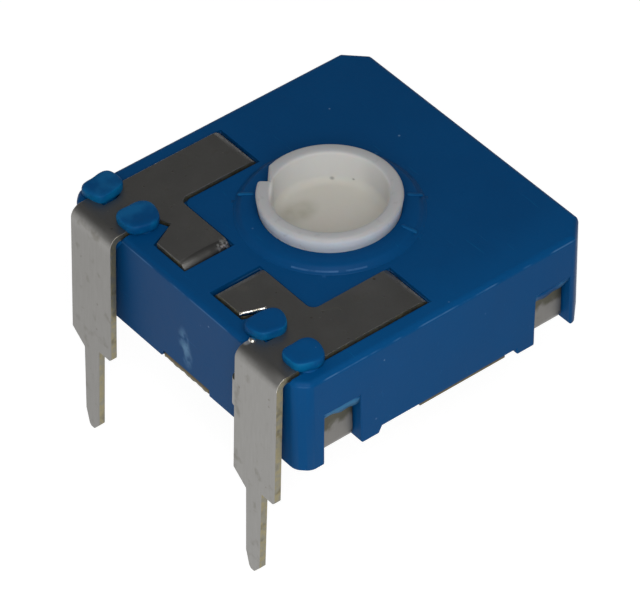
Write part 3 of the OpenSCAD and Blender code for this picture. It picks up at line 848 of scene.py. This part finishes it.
# %% Hub piece
def box_mesh(name, low, high):
    """A box between two corners."""
    bm = bmesh.new()
    bmesh.ops.create_cube(bm, size=1)
    for point in bm.verts:
        point.co = [lo + (c + 0.5) * (hi - lo) for lo, hi, c in zip(low, high, point.co)]
    return stored(bm, bpy.data.meshes.new(name))


hub = placed("rotor_hub", merged_copy("rotor"))
hub_top, half_box = foot_z + 0.03 * MM, 6 * MM
cutter = placed("cutter", box_mesh(
    "cutter", (-half_box, -half_box, hub_top), (half_box, half_box, collar_z + 1 * MM)))
cut = hub.modifiers.new("collar off", "BOOLEAN")
cut.operation, cut.solver, cut.object = "DIFFERENCE", "EXACT", cutter
baked(hub)
bpy.data.objects.remove(cutter)
hub.data.set_sharp_from_angle(angle=math.radians(30))
coat(hub, white)
ride_on(hub, "rotor", "rotor_plastic", "rotor")

# %% [markdown]
# ## The dial
# The dial is a low cone round the collar with a soft rim. Five ribs stand on it: two on each
# side of the middle of the travel, and one at its end. Ribs that repeat at chosen angles are a
# job for Geometry Nodes: one rib is instanced on points, each point turns it by its own angle,
# and the result stands on the cone.

# %% Dial cone
dial_rise, dial_crown, bore_r = 0.2 * MM, 0.12 * MM, 2.73 * MM
base_z, crown_z = roof_z - 0.06 * MM, roof_z + dial_rise + dial_crown
dial_rings = [(bore_r, base_z), (bore_r, crown_z - 0.02 * MM), (bore_r + 0.03 * MM, crown_z)]
for share in (0, 0.14, 0.28, 0.42, 0.56, 0.7, 0.85, 1):
    soft = (1 + math.cos(math.pi * share)) / 2
    dial_rings.append((dial_r + (share * 0.34 - 0.3) * MM, roof_z + (dial_rise + 0.03 * MM) * soft))
dial_rings.append((dial_r + 0.04 * MM, base_z))
dial = swept(
    "dial", turn(160), [lambda a, ring=ring: ring for ring in dial_rings], closed=True)
print("the dial's cone has", len(dial.data.polygons), "faces")

# %% The dial's ribs with Geometry Nodes
def rib_tree():
    tree = bpy.data.node_groups.new("dial_ribs", "GeometryNodeTree")
    face = tree.interface
    face.new_socket("Geometry", in_out="OUTPUT", socket_type="NodeSocketGeometry")
    for name, kind in (
            ("Geometry", "Geometry"), ("Rib length", "Float"), ("Rib width", "Float"),
            ("Rib height", "Float"), ("Ring radius", "Float"), ("Ring height", "Float"),
            ("Rib lean", "Float"), ("Material", "Material")):
        face.new_socket(name, in_out="INPUT", socket_type="NodeSocket" + kind)

    def node(kind, settings=(), **links):
        made = tree.nodes.new(kind)
        for name, value in dict(settings).items():
            setattr(made, name, value)
        for name, value in links.items():
            socket = made.inputs[name.replace("_", " ")]
            if isinstance(value, bpy.types.NodeSocket):
                tree.links.new(value, socket)
            else:
                socket.default_value = value
        return made

    given = node("NodeGroupInput").outputs
    angle = node("GeometryNodeInputNamedAttribute", {"data_type": "FLOAT"}, Name="angle")
    size = node(
        "ShaderNodeCombineXYZ", X=given["Rib length"], Y=given["Rib width"], Z=given["Rib height"])
    bar = node(
        "GeometryNodeMeshCube", Size=size.outputs[0], Vertices_X=4, Vertices_Y=3, Vertices_Z=3)
    soft = node("GeometryNodeSubdivisionSurface", Mesh=bar.outputs[0], Level=1)
    out = node("ShaderNodeCombineXYZ", X=given["Ring radius"], Z=given["Ring height"])
    lean = node("ShaderNodeCombineXYZ", Y=given["Rib lean"])
    moved = node(
        "GeometryNodeTransform", Geometry=soft.outputs[0], Translation=out.outputs[0],
        Rotation=lean.outputs[0])
    spin = node("ShaderNodeCombineXYZ", Z=angle.outputs[0])
    turned = node("FunctionNodeEulerToRotation", Euler=spin.outputs[0])
    copies = node(
        "GeometryNodeInstanceOnPoints", Points=given["Geometry"], Instance=moved.outputs[0],
        Rotation=turned.outputs[0])
    real = node("GeometryNodeRealizeInstances", Geometry=copies.outputs[0])
    done = node(
        "GeometryNodeSetMaterial", Geometry=real.outputs[0], Material=given["Material"])
    node("NodeGroupOutput", Geometry=done.outputs[0])
    return tree


middle_of_travel, half_travel = 86.3, 132.3
rib_angles = [
    math.radians(middle_of_travel + a) for a in (-59.5, -24.6, 24.6, 59.5, half_travel)]
seeds = bpy.data.meshes.new("rib_places")
seeds.from_pydata([(0, 0, 0)] * len(rib_angles), [], [])
seeds.attributes.new("angle", "FLOAT", "POINT").data.foreach_set("value", rib_angles)
ribs = shown("dial_ribs", seeds)
grow = ribs.modifiers.new("ribs", "NODES")
grow.node_group = rib_tree()
# The ribs wear the pale sheen finish, a painted highlight.
rib_sizes = {
    "Rib length": 0.66 * MM, "Rib width": 0.15 * MM, "Rib height": 0.10 * MM,
    "Ring radius": 3.24 * MM, "Ring height": roof_z + 0.225 * MM, "Rib lean": math.radians(12),
    "Material": blue_sheen}
for item in grow.node_group.interface.items_tree:
    if item.in_out == "INPUT" and item.name in rib_sizes:
        grow[item.identifier] = rib_sizes[item.name]
baked(ribs)
ribs.data.shade_smooth()
print("made", len(rib_angles), "ribs with", len(ribs.data.polygons), "faces")

# %% Dial piece
def on_sheen_arcs(face):
    """True on two arcs of the rim on the camera's side, where a highlight is painted."""
    inset = dial_r - face.center.xy.length
    from_near = math.atan2(face.center.y, face.center.x) - azimuth + math.pi / 2
    from_near = math.remainder(from_near, math.tau)
    sheen = -0.42 < from_near < 0.1 or 0.16 < from_near < 0.38
    return sheen and 0.05 * MM < inset < 0.11 * MM


# The pale corner finish on two arcs of the rim is a painted highlight.
coat(dial, blue, blue_corner, pick=on_sheen_arcs)
for piece in (dial, ribs):
    ride_on(piece, "housing", "housing_plastic")

# %% [markdown]
# ## The rivet heads
# Each terminal is held by two posts of the housing. A hot tool pressed their ends into low
# heads, and no two came out alike. A head is the same swept net as the collar, with a rule that
# makes it longer than it is wide, squarer than an ellipse, and fuller to one side. A slow wave
# along the rim stands for the melt that ran, and a Subdivision Surface rounds it. Its base
# reaches down to the top face, so that no gap shows beside the plate.

# %% Rivet head pieces
burr_way, burr_spread = math.radians(153), 0.5


def rivet_head(name, middle, half, turned, square, full, wave, dent=0, finish=blue):
    """A squashed head. Half is half its size along x and y. A higher square makes its outline
    squarer, full moves the bulge along y, and wave makes the rim uneven. Dent is the share that
    is missing where the plate's burr stood in the way of the melt."""
    turned, top = math.radians(turned), 0.36

    def rim(angle):
        a = angle - turned
        x, y = math.cos(a) / (half[0] * MM), math.sin(a) / (half[1] * MM)
        radius = (abs(x) ** square + abs(y) ** square) ** (-1 / square)
        radius *= 1 + full * math.sin(a)
        off = math.remainder(angle - burr_way, math.tau) / burr_spread
        radius *= 1 - dent * math.exp(-off * off)
        return radius * (1 + wave * math.sin(3 * a + 1.0) + 0.5 * wave * math.sin(5 * a))

    def ring(share, rise):
        return lambda a: (rim(a) * share, plate_z + rise * MM)

    levels = [(0.35, -0.13), (0.88, -0.13), (0.95, -0.06), (1.0, 0.04), (1.0, top * 0.66)]
    levels += [(0.98, top * 0.9), (0.90, top), (0.6, top + 0.005), (0.2, top - 0.01)]
    head = swept(name, turn(28), [ring(*level) for level in levels], [c * MM for c in middle])
    smooth = head.modifiers.new("melted", "SUBSURF")
    smooth.levels = smooth.render_levels = 1
    # The head's sides get a paler finish, a painted highlight where they face the light.
    coat(baked(head), finish, blue_head_side_lit, pick=lambda face: face.normal.z < 0.75)
    ride_on(head, "housing", "housing_plastic")


# The two left heads wear the pale sheen finish too, painted lighter as a painted highlight.
rivet_head(
    "rivet_head_1", (-6.22, -5.88), (0.58, 0.74), turned=8, square=4.5, full=-0.08, wave=0.04,
    finish=blue_sheen)
rivet_head(
    "rivet_head_2", (-3.97, -5.93), (0.70, 0.77), turned=-6, square=3.0, full=-0.03, wave=0.05,
    finish=blue_sheen)
rivet_head(
    "rivet_head_3", (3.66, -5.90), (0.65, 0.77), turned=3, square=2.8, full=0.02, wave=0.07,
    dent=0.2)
rivet_head(
    "rivet_head_4", (5.82, -5.90), (0.66, 0.73), turned=-6, square=3.2, full=0.03, wave=0.05)

# %% [markdown]
# ## The stamped terminals
# Copies with soft corners again, with two finishes: every face that the punch cut through the
# sheet shows brass, and every face of the strip itself is tinned. A face belongs to the cut
# edge when it stands across the sheet, which its direction and its place tell. The bite beside
# one rivet and the outside of a bend are burnished.

# %% Terminal pieces
def is_cut(face, node):
    """True where a face lies on the cut edge of the sheet."""
    x, y, z = face.center
    along_x, flat = abs(face.normal.x) > 0.75, abs(face.normal.z) >= 0.3
    corner = max(abs(x) - wall_x, abs(y) - wall_y) > -0.35 * MM
    if node == "wiper_terminal" and corner and abs(y) < wall_y + 0.1 * MM:
        return not flat and z < feet_z + 0.3 * MM
    if z < feet_z - 0.4 * MM or abs(y) > wall_y:
        return abs(face.normal.y) < 0.3 and (along_x or z < roof_z - 1 * MM)
    return not flat and z > plate_z - 0.29 * MM


def is_rubbed(face):
    """True on the bite beside a rivet and on the outside of a bend."""
    x, y, z = face.center / MM
    bite = 2.5 < x < 3.15 and -6.3 < y < -5.05 and z > roof_z / MM
    bend = x > 6.17 and y < -7.1 and z > roof_z / MM - 0.35
    return (bite or bend) and face.normal.x > 0.25


terminals = ("end_terminal_left", "end_terminal_right", "wiper_terminal")
for node in terminals:
    piece = softened(node + "_sheet", merged_copy(node), 0.03 * MM)
    coat(piece, tin, brass, bright, pick=lambda f: 2 if is_rubbed(f) else is_cut(f, node))
    ride_on(piece, "housing", "tinned_brass", node)

# %% [markdown]
# ## Burrs and a drop of tin
# Beside one head the punch left the plate's edge turned up as a burr, which grows towards the
# post and shines where it was rubbed. It also tore the edge of the contact plate's tongue down
# a little, which leaves a thin uneven line of brass. Both are drawn out along an edge, as the
# lips are. A small drop of tin sits on the bend below the same head as the burr.

# %% Burrs and drop
burr_start, burr_end = Vector((2.51, -6.27, 0)) * MM, Vector((2.98, -5.36, 0)) * MM
burr_run = burr_end - burr_start
burr_out = Vector((burr_run.y, -burr_run.x, 0)).normalized()
tongue_half = 1.34


def burr_section(share):
    """The burr's outline at a share of the way along the plate's edge."""
    rise = 0.08 + 0.12 * share
    outline = (
        (0.03, -0.06), (0.02, 0.4 * rise), (-0.02, rise), (-0.06, 0.9 * rise), (-0.11, -0.02))
    foot = burr_start + burr_run * share
    return [foot + burr_out * (out * MM) + Vector((0, 0, plate_z + z * MM)) for out, z in outline]


def tongue_section(x):
    """The outline of the tongue's torn edge, which faces the end terminals."""
    torn = 0.03 + 0.02 * math.sin(7.3 * x) + 0.015 * math.sin(17.9 * x + 1.0)
    outline = (
        (-6.83, 6.1), (-6.93, 6.1), (-6.96, 5.98), (-6.94, 5.86 - torn), (-6.83, 5.83 - torn))
    return [(x * MM, y * MM, z * MM) for y, z in outline]


burr = drawn_out("plate_burr", [[burr_section(share) for share in evenly(0, 1, steps=12)]])
tongue_burr = drawn_out(
    "tongue_burr", [[tongue_section(x) for x in evenly(-tongue_half, tongue_half, steps=40)]])
drop_rings = (
    (0.02, -0.05), (0.13, -0.05), (0.15, 0.0), (0.12, 0.045), (0.06, 0.07), (0.01, 0.075))
drop = swept(
    "tin_drop", turn(14), [lambda a, r=r, z=z: (r * MM, plate_z + z * MM) for r, z in drop_rings],
    (3.86 * MM, -6.74 * MM))
for piece, material in ((tongue_burr, brass), (burr, bright), (drop, bright)):
    coat(piece, material)
    ride_on(piece, "housing", "tinned_brass")

# %% [markdown]
# ## Inside
# The card and the slider are hidden when the part stands on its board, and show through no
# gap. Their copies still have soft corners, and the printed track has the carbon finish.

# %% Card and wiper
card_piece = softened("resistor_card_sheet", merged_copy("resistor_card"), 0.01 * MM)
track_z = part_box("resistor_card")[0].z + 0.03 * MM
coat(card_piece, card, carbon, pick=lambda face: face.center.z < track_z)
ride_on(card_piece, "housing", "card", "resistor_card")
wiper_piece = softened("wiper_spring", merged_copy("wiper"), 0.02 * MM)
coat(wiper_piece, nickel)
ride_on(wiper_piece, "rotor", "spring_metal", "wiper")

# %% [markdown]
# ## Hidden nodes
# The frame's own nodes are hidden behind their copies, but each still gets its finish, so that
# nothing in the file is left grey.

# %% Finishes on the frame's nodes
node_finish = {"housing": blue, "rotor": white, "wiper": nickel, "resistor_card": card}
node_finish.update(dict.fromkeys(terminals, tin))
for node, material in node_finish.items():
    frame["nodes"][node].data.materials.clear()
    coat(frame["nodes"][node], material)
print("finished", len(node_finish), "nodes")

# %% [markdown]
# ## The table
# The part stands on white paper. The camera sees the paper as nearly pure white, and so does
# everything that mirrors it, because part of its brightness is its own. The rest is lit, so the
# part still casts a soft shadow.

# %% Stage
def stage_plane(name, half, z, material, facing=1):
    """A level square sheet. It faces up, or down where facing is -1."""
    corners = [(x * half, y * half * facing, z) for x, y in ((-1, -1), (1, -1), (1, 1), (-1, 1))]
    mesh = bpy.data.meshes.new(name)
    mesh.from_pydata(corners, [], [(0, 1, 2, 3)])
    plane = shown(name, mesh)
    coat(plane, material)
    return plane


def seen_rays(tree):
    """A wire that is 1 for rays from the camera, from a mirror or through glass."""
    path = tree.nodes.new("ShaderNodeLightPath")
    total = path.outputs["Is Camera Ray"]
    for name in ("Is Glossy Ray", "Is Transmission Ray"):
        add = tree.nodes.new("ShaderNodeMath")
        add.operation, add.use_clamp = "ADD", True
        tree.links.new(total, add.inputs[0])
        tree.links.new(path.outputs[name], add.inputs[1])
        total = add.outputs[0]
    return total


paper = Finish("white_paper", Roughness=1.0, Specular_IOR_Level=0.0, Emission_Strength=1.0)
seen = Wire(paper, seen_rays(paper.tree))
paper.feed(
    Base_Color=paper.mix(seen, (0.60, 0.60, 0.60), (0.34, 0.34, 0.34)),
    Emission_Color=paper.mix(seen, (0, 0, 0), (0.87, 0.87, 0.87)),
)
stage_plane("table", 2000 * MM, -0.02 * MM, paper.material)

# %% [markdown]
# ## Light
# A soft box stands close to the near corner, so the light falls off across the small part. Two
# weak ones fill the walls and the front of the ring, and an even sky does the rest. Only
# mirror-like faces see the grey card over the set. It keeps the level plates dark and the blue
# top deep, while the upright strips mirror the white table.

# %% Lamps, card and sky
def softbox(name, place, size, watts):
    """A square lamp at a place in millimetres. It faces the aim point."""
    light = bpy.data.lights.new(name, "AREA")
    light.shape, light.size, light.energy = "SQUARE", size * MM, watts
    lamp = shown(name, light)
    lamp.location = [c * MM for c in place]
    lamp.visible_camera = False
    lamp.rotation_euler = (aim - lamp.location).to_track_quat("-Z", "Y").to_euler()


softbox("key", (34, -24, 48), 38, 0.0172)
softbox("front", (64, -56, 22), 34, 0.0095)
softbox("fill", (-60, -80, 50), 60, 0.0045)

ceiling = Finish("grey_card", Roughness=1.0, Specular_IOR_Level=0.0, Emission_Strength=1.0)
ceiling.shader.inputs["Base Color"].default_value = (0, 0, 0, 1)
ceiling.shader.inputs["Emission Color"].default_value = (0.12, 0.12, 0.12, 1)
shade = stage_plane("ceiling_card", 600 * MM, 90 * MM, ceiling.material, facing=-1)
shade.visible_camera = shade.visible_diffuse = shade.visible_shadow = False

world = bpy.data.worlds.new("studio")
bpy.context.scene.world = world
world.use_nodes = True
tree = world.node_tree
nodes, links = tree.nodes, tree.links
sky, backdrop = nodes["Background"], nodes.new("ShaderNodeBackground")
for light, strength in ((sky, 0.30), (backdrop, 1.0)):
    light.inputs["Strength"].default_value = strength
    light.inputs["Color"].default_value = (1, 1, 1, 1)
choice = nodes.new("ShaderNodeMixShader")
for i, socket in enumerate((seen_rays(tree), sky.outputs[0], backdrop.outputs[0])):
    links.new(socket, choice.inputs[i])
links.new(choice.outputs[0], nodes["World Output"].inputs["Surface"])
bpy.context.scene.view_settings.view_transform = "Standard"
print("lit by", len(bpy.data.lights), "soft boxes and the sky")
